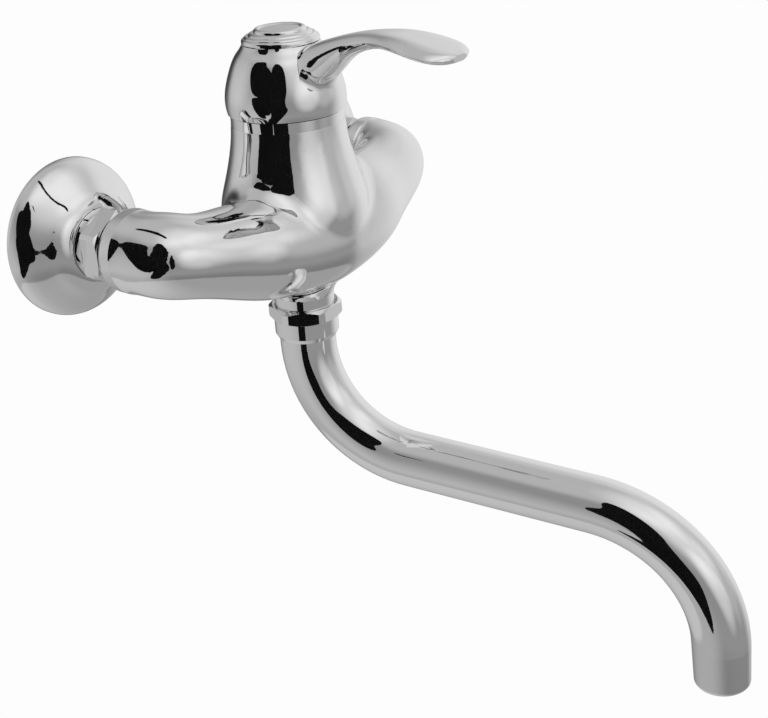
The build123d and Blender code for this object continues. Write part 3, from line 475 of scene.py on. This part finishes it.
FINISHES: Mapping[Slot, Finish] = {
    Slot.CHROME: PolishedChrome("polished_chrome", (0.868, 0.862, 0.868, 1.0), 0.03, 1.0),
    Slot.BRASS: TurnedMetal("turned_brass", (0.72, 0.55, 0.26, 1.0), 0.24, 1.0),
    Slot.STEEL: TurnedMetal("turned_steel", (0.62, 0.62, 0.6, 1.0), 0.26, 1.0, tarnish=0.9),
    Slot.RUBBER: SealRubber("seal_rubber", (0.022, 0.022, 0.023, 1.0), 0.6),
    Slot.CARTRIDGE: MouldedPlastic("cartridge_plastic", (0.78, 0.78, 0.76, 1.0), 0.42),
    Slot.CERAMIC: LappedCeramic("lapped_ceramic", (0.88, 0.87, 0.84, 1.0), 0.12, coat=0.3),
    Slot.WASHER: MouldedPlastic("washer_plastic", (0.86, 0.86, 0.83, 1.0), 0.45),
}


def dress(names: Sequence[str], slot: Slot) -> None:
    """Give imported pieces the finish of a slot.

    Args:
        names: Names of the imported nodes.
        slot: Material slot whose finish they get.
    """
    for name in names:
        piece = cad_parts[name]
        piece.data.materials.clear()
        piece.data.materials.append(FINISHES[slot].material())
        log.info("%s: finished as %s", name, slot.value)


@dataclass
class TapPart:
    """A sub-assembly of the tap."""

    def build(self) -> None:
        """Build and dress the pieces of this sub-assembly."""
        raise NotImplementedError


def join_loop(made: bmesh.types.BMesh, lower: Sequence[Any], upper: Sequence[Any]) -> None:
    """Join two closed loops of as many vertices by quads.

    Args:
        made: The mesh in the making.
        lower: Vertices of one loop, in order.
        upper: Vertices of the other.
    """
    for n in range(len(lower)):
        after = (n + 1) % len(lower)
        made.faces.new((lower[n], lower[after], upper[after], upper[n]))


def settled(name: str, made: bmesh.types.BMesh) -> bpy.types.Object:
    """Turn a finished mesh in the making into a smooth object of the scene.

    Args:
        name: Name of the new piece.
        made: The mesh, which is freed.

    Returns:
        The new object.
    """
    mesh = bpy.data.meshes.new(name)
    for face in made.faces:
        face.smooth = True
    made.to_mesh(mesh)
    made.free()
    return link_object(name, mesh)


def sharpen(piece: bpy.types.Object, angle: float) -> None:
    """Keep edges sharper than an angle crisp.

    Args:
        piece: The piece to shade.
        angle: Least angle in degrees between two faces at a crisp edge.
    """
    limit = math.cos(math.radians(angle))
    made = bmesh.new()
    made.from_mesh(piece.data)
    for edge in made.edges:
        if len(edge.link_faces) == 2:
            first, second = edge.link_faces
            edge.smooth = first.normal.dot(second.normal) > limit
    made.to_mesh(piece.data)
    made.free()


def finish_piece(piece: bpy.types.Object, body: Body, slot: Slot, replaced: str) -> None:
    """Give a new piece its body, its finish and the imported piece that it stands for.

    Args:
        piece: The new piece.
        body: Body that it moves with.
        slot: Material slot whose finish it gets.
        replaced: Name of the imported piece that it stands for.
    """
    piece.data.materials.append(FINISHES[slot].material())
    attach(piece, body.value)
    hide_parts(replaced)
    log.info("%s: stands for %s", piece.name, replaced)


@dataclass
class ThreadedUnion:
    """Eccentric union whose wall end has a notched pipe thread; lengths in millimetres."""

    side: str
    inlet_x: float
    drop: float = 5.0
    pitch: float = 1.814
    crest_r: float = 10.48
    depth: float = 1.16
    tip_sink: float = 0.2
    thread_length: float = 13.0
    thread_bore_r: float = 7.0
    run_in: float = 1.6
    run_out: float = 1.4
    crest_width: float = 1.5
    flank_fall: float = 2.9
    shoulder_r: float = 12.5
    barrel_r: float = 13.2
    barrel_bore_r: float = 8.0
    step: float = 6.0
    length: float = 24.2
    chamfer: float = 0.4
    notches: int = 46
    notch_depth: float = 0.3
    notch_from: float = 0.9
    points: int = 184
    rows_per_turn: int = 12
    crisp_angle: float = 40.0

    def build(self) -> None:
        """Build the union and put it in place of the plain one."""
        root, tip = self.crest_r - self.depth, self.thread_length
        rows = int(self.thread_length / self.pitch * self.rows_per_turn)
        outside = (
            (-self.length, 0.0, self.barrel_r - self.chamfer), (-self.length + self.chamfer, 0.0, self.barrel_r),
            (-self.step, 0.0, self.barrel_r), (0.0, -self.drop, self.shoulder_r), (0.0, -self.drop, root),
        )
        inside = (
            (tip, -self.drop, root - self.tip_sink), (tip, -self.drop, self.thread_bore_r + self.chamfer),
            (tip - self.chamfer, -self.drop, self.thread_bore_r), (0.0, -self.drop, self.thread_bore_r),
            (-self.step, 0.0, self.barrel_bore_r), (-self.length, 0.0, self.barrel_bore_r),
        )
        loops = [self._loop(*spot) for spot in outside]
        loops += [self._thread_loop(self.thread_length * row / rows) for row in range(1, rows)]
        loops += [self._loop(*spot) for spot in inside]
        made = bmesh.new()
        rings = [[made.verts.new(point) for point in loop] for loop in loops]
        for lower, upper in zip(rings, rings[1:] + rings[:1]):
            join_loop(made, lower, upper)
        bmesh.ops.recalc_face_normals(made, faces=made.faces)
        piece = settled(f"{self.side}_threaded_union", made)
        sharpen(piece, self.crisp_angle)
        finish_piece(piece, Body.MIXER, Slot.BRASS, f"{self.side}_eccentric_union")

    def _loop(self, y: float, z: float, radius: float) -> Loop:
        """Make a round loop about the inlet.

        Args:
            y: Distance behind the wall's plane in millimetres.
            z: Height of its centre in millimetres.
            radius: Its radius in millimetres.

        Returns:
            The loop's points in metres.
        """
        turns = [math.tau * n / self.points for n in range(self.points)]
        return [
            ((self.inlet_x + radius * math.cos(t)) * MM, y * MM, (z + radius * math.sin(t)) * MM) for t in turns
        ]

    def _thread_loop(self, along: float) -> Loop:
        """Make one loop of the thread, with notches in its crests and a taper at both ends.

        Args:
            along: Distance from the shoulder in millimetres.

        Returns:
            The loop's points in metres.
        """
        loop = []
        ends = min(1.0, along / self.run_in, (self.thread_length - along) / self.run_out)
        for n in range(self.points):
            share = n / self.points
            phase = (along / self.pitch - share) % 1.0
            tooth = min(1.0, max(0.0, self.crest_width - self.flank_fall * abs(phase - 0.5)))
            crest = tooth * tooth * (3 - 2 * tooth)
            notch = self.notch_depth * (0.5 + 0.5 * math.cos(math.tau * share * self.notches))
            notch *= tooth > self.notch_from
            radius = self.crest_r - self.depth * (1.0 - crest * ends) - notch * ends
            angle = math.tau * share
            x, z = self.inlet_x + radius * math.cos(angle), radius * math.sin(angle) - self.drop
            loop.append((x * MM, along * MM, z * MM))
        return loop


@dataclass
class MixerBody(TapPart):
    """The cast body with the nuts, rosettes and fittings at its inlets."""

    inlets: tuple[tuple[str, float], ...] = (("left", -75.0), ("right", 75.0))

    def build(self) -> None:
        """Dress the body, then the fittings of each inlet."""
        dress(["mixer_body", "trim_ring", "swivel_nut"], Slot.CHROME)
        dress(["slip_washer"], Slot.WASHER)
        for side, inlet_x in self.inlets:
            dress([f"{side}_rosette", f"{side}_union_nut"], Slot.CHROME)
            dress([f"{side}_inlet_tail"], Slot.BRASS)
            ThreadedUnion(side, inlet_x).build()
            dress([f"{side}_union_washer"], Slot.RUBBER)
            dress([f"{side}_strainer"], Slot.STEEL)


@dataclass
class Cartridge(TapPart):
    """The ceramic cartridge inside the neck."""

    def build(self) -> None:
        """Dress the pieces of the cartridge and its clamp nut."""
        dress(["cartridge_base", "cartridge_housing", "rotor", "disc_carrier"], Slot.CARTRIDGE)
        dress(["fixed_disc", "moving_disc"], Slot.CERAMIC)
        dress(["port_seals"], Slot.RUBBER)
        dress(["spindle", "spindle_pin"], Slot.STEEL)
        dress(["lock_nut"], Slot.BRASS)


@dataclass
class Handle(TapPart):
    """The domed handle with its lever, cap and screw."""

    def build(self) -> None:
        """Dress the handle and what holds it."""
        dress(["handle", "handle_cap"], Slot.CHROME)
        dress(["handle_screw"], Slot.STEEL)


@dataclass
class JetFormer:
    """The aerator's insert, with a honeycomb in its outlet face; lengths in millimetres, angles in degrees."""

    outlet: tuple[float, float, float] = (39.276, -241.778, -179.790)
    heading: float = 12.0
    lean: float = 4.3
    top: float = 9.6
    bottom: float = 17.5
    flange: float = 1.3
    flange_r: float = 11.7
    body_r: float = 10.6
    chamfer: float = 0.3
    field_r: float = 8.6
    ring_r: float = 9.1
    cell: float = 2.5
    web: float = 0.5
    web_sink: float = 0.2
    cell_depth: float = 3.4
    cell_overhang: float = 0.45
    weld: float = 0.0005
    points: int = 96
    crisp_angle: float = 32.0

    def build(self) -> None:
        """Build the insert and put it in place of the plain one."""
        made = bmesh.new()
        self._shell(made)
        self._honeycomb(made)
        bmesh.ops.remove_doubles(made, verts=made.verts, dist=self.weld * MM)
        bmesh.ops.bridge_loops(made, edges=[edge for edge in made.edges if edge.is_boundary])
        bmesh.ops.recalc_face_normals(made, faces=made.faces)
        bmesh.ops.transform(made, matrix=self._frame(), verts=made.verts)
        piece = settled("jet_former", made)
        sharpen(piece, self.crisp_angle)
        finish_piece(piece, Body.SPOUT, Slot.WASHER, "aerator_insert")

    def _frame(self) -> Matrix:
        """Return the turn and shift from the outlet's own axes to the tap's."""
        turn, lean = math.radians(self.heading), math.radians(self.lean)
        out = Vector((math.sin(turn) * math.sin(lean), -math.cos(turn) * math.sin(lean), -math.cos(lean)))
        side = Vector((math.cos(turn), math.sin(turn), 0.0))
        rotation = Matrix((side, out.cross(side), out)).transposed().to_4x4()
        return Matrix.Translation(Vector(self.outlet) * MM) @ rotation

    def _shell(self, made: bmesh.types.BMesh) -> None:
        """Add the flange, the body and the ring round the honeycomb.

        Args:
            made: The mesh in the making, with the outlet's axis along Z.
        """
        step = self.top + self.flange
        profile = (
            (self.ring_r, self.bottom), (self.body_r - self.chamfer, self.bottom),
            (self.body_r, self.bottom - self.chamfer), (self.body_r, step), (self.flange_r, step),
            (self.flange_r, self.top), (self.ring_r, self.top), (self.ring_r, self.bottom - self.cell_depth),
        )
        turns = [math.tau * n / self.points for n in range(self.points)]
        rings = [
            [made.verts.new((radius * math.cos(t) * MM, radius * math.sin(t) * MM, depth * MM)) for t in turns]
            for radius, depth in profile
        ]
        for lower, upper in zip(rings, rings[1:] + rings[:1]):
            join_loop(made, lower, upper)

    def _honeycomb(self, made: bmesh.types.BMesh) -> None:
        """Add hexagonal cells side by side, trimmed by the ring.

        Args:
            made: The mesh in the making.
        """
        reach = int(self.field_r / self.cell) + 2
        for column in range(-reach, reach + 1):
            for row in range(-reach, reach + 1):
                x = self.cell * (column + 0.5 * (row % 2))
                y = self.cell * row * math.sqrt(0.75)
                if math.hypot(x, y) < self.field_r + self.cell_overhang * self.cell:
                    self._cell(made, x, y)

    def _cell(self, made: bmesh.types.BMesh, x: float, y: float) -> None:
        """Add one cell: its webs at both faces and its inner walls.

        Args:
            made: The mesh in the making.
            x: Centre of the cell across.
            y: Centre of the cell along.
        """
        loops = []
        outer_r, inner_r = self.cell / math.sqrt(3.0), (self.cell - self.web) / math.sqrt(3.0)
        back, front = self.bottom - self.cell_depth, self.bottom - self.web_sink
        for radius, depth in ((outer_r, back), (outer_r, front), (inner_r, front), (inner_r, back)):
            loop = []
            for n in range(6):
                angle = math.radians(60 * n + 30)
                corner = Vector((x + radius * math.cos(angle), y + radius * math.sin(angle)))
                if corner.length > self.ring_r:
                    corner *= self.ring_r / corner.length
                loop.append(made.verts.new((corner.x * MM, corner.y * MM, depth * MM)))
            loops.append(loop)
        for lower, upper in zip(loops[1:], loops[2:] + loops[:1]):
            join_loop(made, lower, upper)


@dataclass
class Spout(TapPart):
    """The swivelling tube with its aerator."""

    def build(self) -> None:
        """Dress the tube, its seals and the aerator."""
        dress(["spout_tube", "aerator_sleeve"], Slot.CHROME)
        dress(["spout_o_rings", "aerator_washer"], Slot.RUBBER)
        JetFormer().build()


@dataclass(frozen=True)
class SoftLight:
    """A soft lamp in the wall of the tent, as seen from the tap."""

    azimuth: float
    elevation: float
    spread: float
    level: float

    def direction(self) -> Vector:
        """Return the direction towards the lamp."""
        return sky_direction(self.azimuth, self.elevation)


@dataclass(frozen=True)
class Card:
    """A black card that the chrome reflects, with its corners in metres."""

    name: str
    corners: tuple[Vector, ...]
    reach: tuple[float, float] | None = None
    paint: Colour = (0.006, 0.006, 0.006, 1.0)

    def build(self) -> None:
        """Hang the card where only reflections see it."""
        mesh = bpy.data.meshes.new(self.name)
        mesh.from_pydata(self.corners, [], [tuple(range(len(self.corners)))])
        mesh.materials.append(self._black())
        card = link_object(self.name, mesh)
        card.visible_camera = False
        card.visible_diffuse = False
        card.visible_shadow = False

    def _black(self) -> bpy.types.Material:
        """Build the card's black, which only reflections from within its reach see.

        Returns:
            The material of the card.
        """
        black, graph = new_material(self.name)
        surface = graph.node("ShaderNodeBsdfDiffuse", {}, {"Color": self.paint})
        if self.reach:
            away = graph.node("ShaderNodeLightPath", output="Ray Length")
            within = away.above(self.reach[0]) * (1 - away.above(self.reach[1]))
            clear = graph.node("ShaderNodeBsdfTransparent")
            surface = graph.node("ShaderNodeMixShader", {}, {0: within, 1: clear, 2: surface})
        graph.output(surface)
        return black


class Plane(Enum):
    """Upright planes that near cards hang in."""

    BESIDE = "facing the tap from its left"
    FRONT = "facing the tap from in front"


@dataclass(frozen=True)
class NearCard:
    """A black card close to the tap, with its lengths in millimetres.

    Its outline is given as distance from the wall and height, or in front of the tap as place across and height.
    """

    name: str
    plane: Plane
    offset: float
    outline: Outline
    reach: tuple[float, float] | None = None

    def build(self) -> None:
        """Hang the card in its plane."""
        corners = tuple(self._corner(*spot) * MM for spot in rounded(self.outline))
        Card(self.name, corners, self.reach and (self.reach[0] * MM, self.reach[1] * MM)).build()

    def _corner(self, along: float, height: float) -> Vector:
        """Return a point of the plane."""
        if self.plane is Plane.BESIDE:
            return Vector((self.offset, along, height))
        return Vector((along, self.offset, height))


def sky_direction(azimuth: float, elevation: float) -> Vector:
    """Direction from the tap, with azimuth 0 into the wall and 90 to the right.

    Args:
        azimuth: Turn about the upright axis in degrees.
        elevation: Height over the horizon in degrees.

    Returns:
        The direction as a unit vector.
    """
    turn, rise = math.radians(azimuth), math.radians(elevation)
    return Vector((math.sin(turn) * math.cos(rise), math.cos(turn) * math.cos(rise), math.sin(rise)))


def rounded(
    outline: Sequence[tuple[float, float]], rounds: int = 3, share: float = 0.25
) -> list[tuple[float, float]]:
    """Round the corners of a closed outline by cutting them again and again.

    Args:
        outline: Corners of the outline, in order.
        rounds: How many times every corner is cut.
        share: Share of a side that is cut off at each of its ends.

    Returns:
        The corners of the rounded outline.
    """
    corners = list(outline)
    for _ in range(rounds):
        cut = []
        for (x0, y0), (x1, y1) in zip(corners, corners[1:] + corners[:1]):
            cut += [(x0 + (x1 - x0) * at, y0 + (y1 - y0) * at) for at in (share, 1 - share)]
        corners = cut
    return corners


@dataclass
class Studio:
    """Tent round the tap, a pale floor, black cards, and the camera at the photograph's place."""

    camera_place: tuple[float, float, float] = (-397.72 * MM, -418.54 * MM, 174.07 * MM)
    camera_right: tuple[float, float, float] = (0.6024, -0.7959, -0.0602)
    camera_up: tuple[float, float, float] = (0.3701, 0.2117, 0.9046)
    camera_forward: tuple[float, float, float] = (0.7072, 0.5672, -0.4221)
    focal_pixels: float = 1309.226
    sensor_width: float = 36.0
    floor_drop: float = 0.09
    floor_size: float = 6.0
    floor_paint: Colour = (0.82, 0.82, 0.82, 1.0)
    floor_white: float = 0.9
    clip: tuple[float, float] = (0.02, 50.0)
    far_card_distance: float = 2.5
    far_card_outline: Outline = (
        (-106, -38), (-118, -32), (-130, -18), (-135, -8), (-131, -1), (-131, 10), (-137, 24), (-135, 38),
        (-128, 50), (-112, 54), (-105, 44), (-104, 26), (-96, 14), (-96, 0), (-104, -8), (-102, -24), (-94, -30),
        (-92, -38),
    )
    near_cards: tuple[NearCard, ...] = (
        NearCard(
            "side_card", Plane.BESIDE, -160, (
                (4, 58), (0, 46), (-7, 30), (-14, 16), (-22, 1), (-34, -20), (-52, -30), (-66, -28), (-66, 0),
                (-65, 20), (-63, 50), (-61, 78), (-30, 80), (4, 74),
            ),
        ),
        NearCard(
            "middle_card", Plane.BESIDE, -161, (
                (-30, 6), (-30, 60), (-30, 116), (-80, 116), (-98, 112), (-98, 40), (-98, 4), (-84, -8),
                (-50, -4),
            ), (133, 200),
        ),
        NearCard("slim_card", Plane.BESIDE, -162, ((-58, -40), (-58, 48), (-86, 48), (-86, -40)), (0, 81)),
        NearCard(
            "upper_card", Plane.BESIDE, -100, (
                (-40, 66), (-14, 80), (6, 108), (8, 160), (6, 190), (-46, 188), (-62, 136), (-90, 120), (-88, 84),
                (-60, 72),
            ), (78, 150),
        ),
        NearCard(
            "front_card", Plane.FRONT, -200, (
                (-240, -46), (-200, -56), (-180, -28), (-174, 20), (-178, 62), (-200, 100), (-240, 90),
            ), (0, 190),
        ),
    )
    wall: Outline = (
        (-47, 0.37), (-43.5, 0.22), (-26, 0.31), (-8, 0.29), (12, 0.28), (35, 0.3), (58, 0.5),
    )
    lights: tuple[SoftLight, ...] = (
        SoftLight(85, 5, 60, 0.52),
        SoftLight(178, 48, 52, 0.32),
        SoftLight(-155, 35, 40, 0.12),
        SoftLight(-172, 6, 30, 0.36),
        SoftLight(-45, -35, 75, 0.22),
        SoftLight(150, 8, 30, 0.2),
        SoftLight(-20, 20, 40, 0.18),
        SoftLight(150, 38, 30, 0.14),
        SoftLight(28, 0, 34, -0.24),
    )

    def build(self) -> None:
        """Set up the camera, the floor, the cards and the tent."""
        scene = bpy.context.scene
        scene.view_settings.view_transform = "Standard"
        self._camera()
        self._floor()
        self._cards()
        self._world()

    def _camera(self) -> None:
        """Place the camera where the photograph was taken from."""
        data = bpy.data.cameras.new("camera")
        data.sensor_width = self.sensor_width
        data.lens = self.focal_pixels * self.sensor_width / PHOTO_WIDTH
        data.clip_start, data.clip_end = self.clip
        camera = link_object("camera", data)
        turn = Matrix((self.camera_right, self.camera_up, [-x for x in self.camera_forward])).transposed()
        camera.matrix_world = Matrix.Translation(self.camera_place) @ turn.to_quaternion().to_matrix().to_4x4()
        bpy.context.scene.camera = camera

    def _floor(self) -> None:
        """Lay a pale floor well under the spout, which reflections don't see."""
        mesh = bpy.data.meshes.new("floor")
        half = self.floor_size / 2
        level = cad_box[0].z - self.floor_drop
        corners = [(-half, -half, level), (half, -half, level), (half, half, level), (-half, half, level)]
        mesh.from_pydata(corners, [], [(0, 1, 2, 3)])
        floor = link_object("floor", mesh)
        material, graph = new_material("floor")
        paint = graph.node("ShaderNodeBsdfDiffuse", {}, {"Color": self.floor_paint})
        white = graph.node("ShaderNodeEmission", {}, {"Color": WHITE, "Strength": 1.0})
        seen = graph.node("ShaderNodeLightPath", output="Is Camera Ray")
        surface = graph.node("ShaderNodeMixShader", {}, {0: seen * self.floor_white, 1: paint, 2: white})
        graph.output(surface)
        mesh.materials.append(material)
        floor.visible_glossy = False

    def _cards(self) -> None:
        """Hang a far card beside the camera, near ones at the left of the tap and one in front."""
        far = tuple(sky_direction(*spot) * self.far_card_distance for spot in rounded(self.far_card_outline))
        Card("far_card", far).build()
        for card in self.near_cards:
            card.build()

    def _world(self) -> None:
        """Make the tent: greys and soft lamps for reflections, and plain white for all else."""
        world = bpy.data.worlds.new("tent")
        bpy.context.scene.world = world
        world.use_nodes = True
        graph = ShaderGraph(world.node_tree)
        towards = graph.node("ShaderNodeTexCoord", output="Generated")
        height = graph.node("ShaderNodeSeparateXYZ", {}, {0: towards}, output="Z")
        level: Any = self.wall[0][1]
        for (low, before), (high, after) in zip(self.wall, self.wall[1:]):
            rise = height.ramp(math.sin(math.radians(low)), math.sin(math.radians(high)))
            level = level + rise * (after - before)
        for light in self.lights:
            sides = {0: towards, 1: light.direction()}
            facing = graph.node("ShaderNodeVectorMath", {"operation": "DOT_PRODUCT"}, sides, output="Value")
            level = level + facing.ramp(math.cos(math.radians(light.spread)), 1.0) * light.level
        mirrored = graph.node("ShaderNodeLightPath", output="Is Glossy Ray")
        strength = (level - 1) * mirrored + 1
        surface = graph.node("ShaderNodeBackground", {}, {"Color": WHITE, "Strength": strength})
        graph.output(surface, "ShaderNodeOutputWorld")


def main() -> None:
    """Build the tap's sub-assemblies in order, then the studio."""
    logging.basicConfig(level=logging.INFO, format="%(name)s %(message)s")
    for part in (MixerBody(), Cartridge(), Handle(), Spout()):
        part.build()
        log.info("%s built", type(part).__name__)
    Studio().build()


if __name__ == "__main__":
    main()
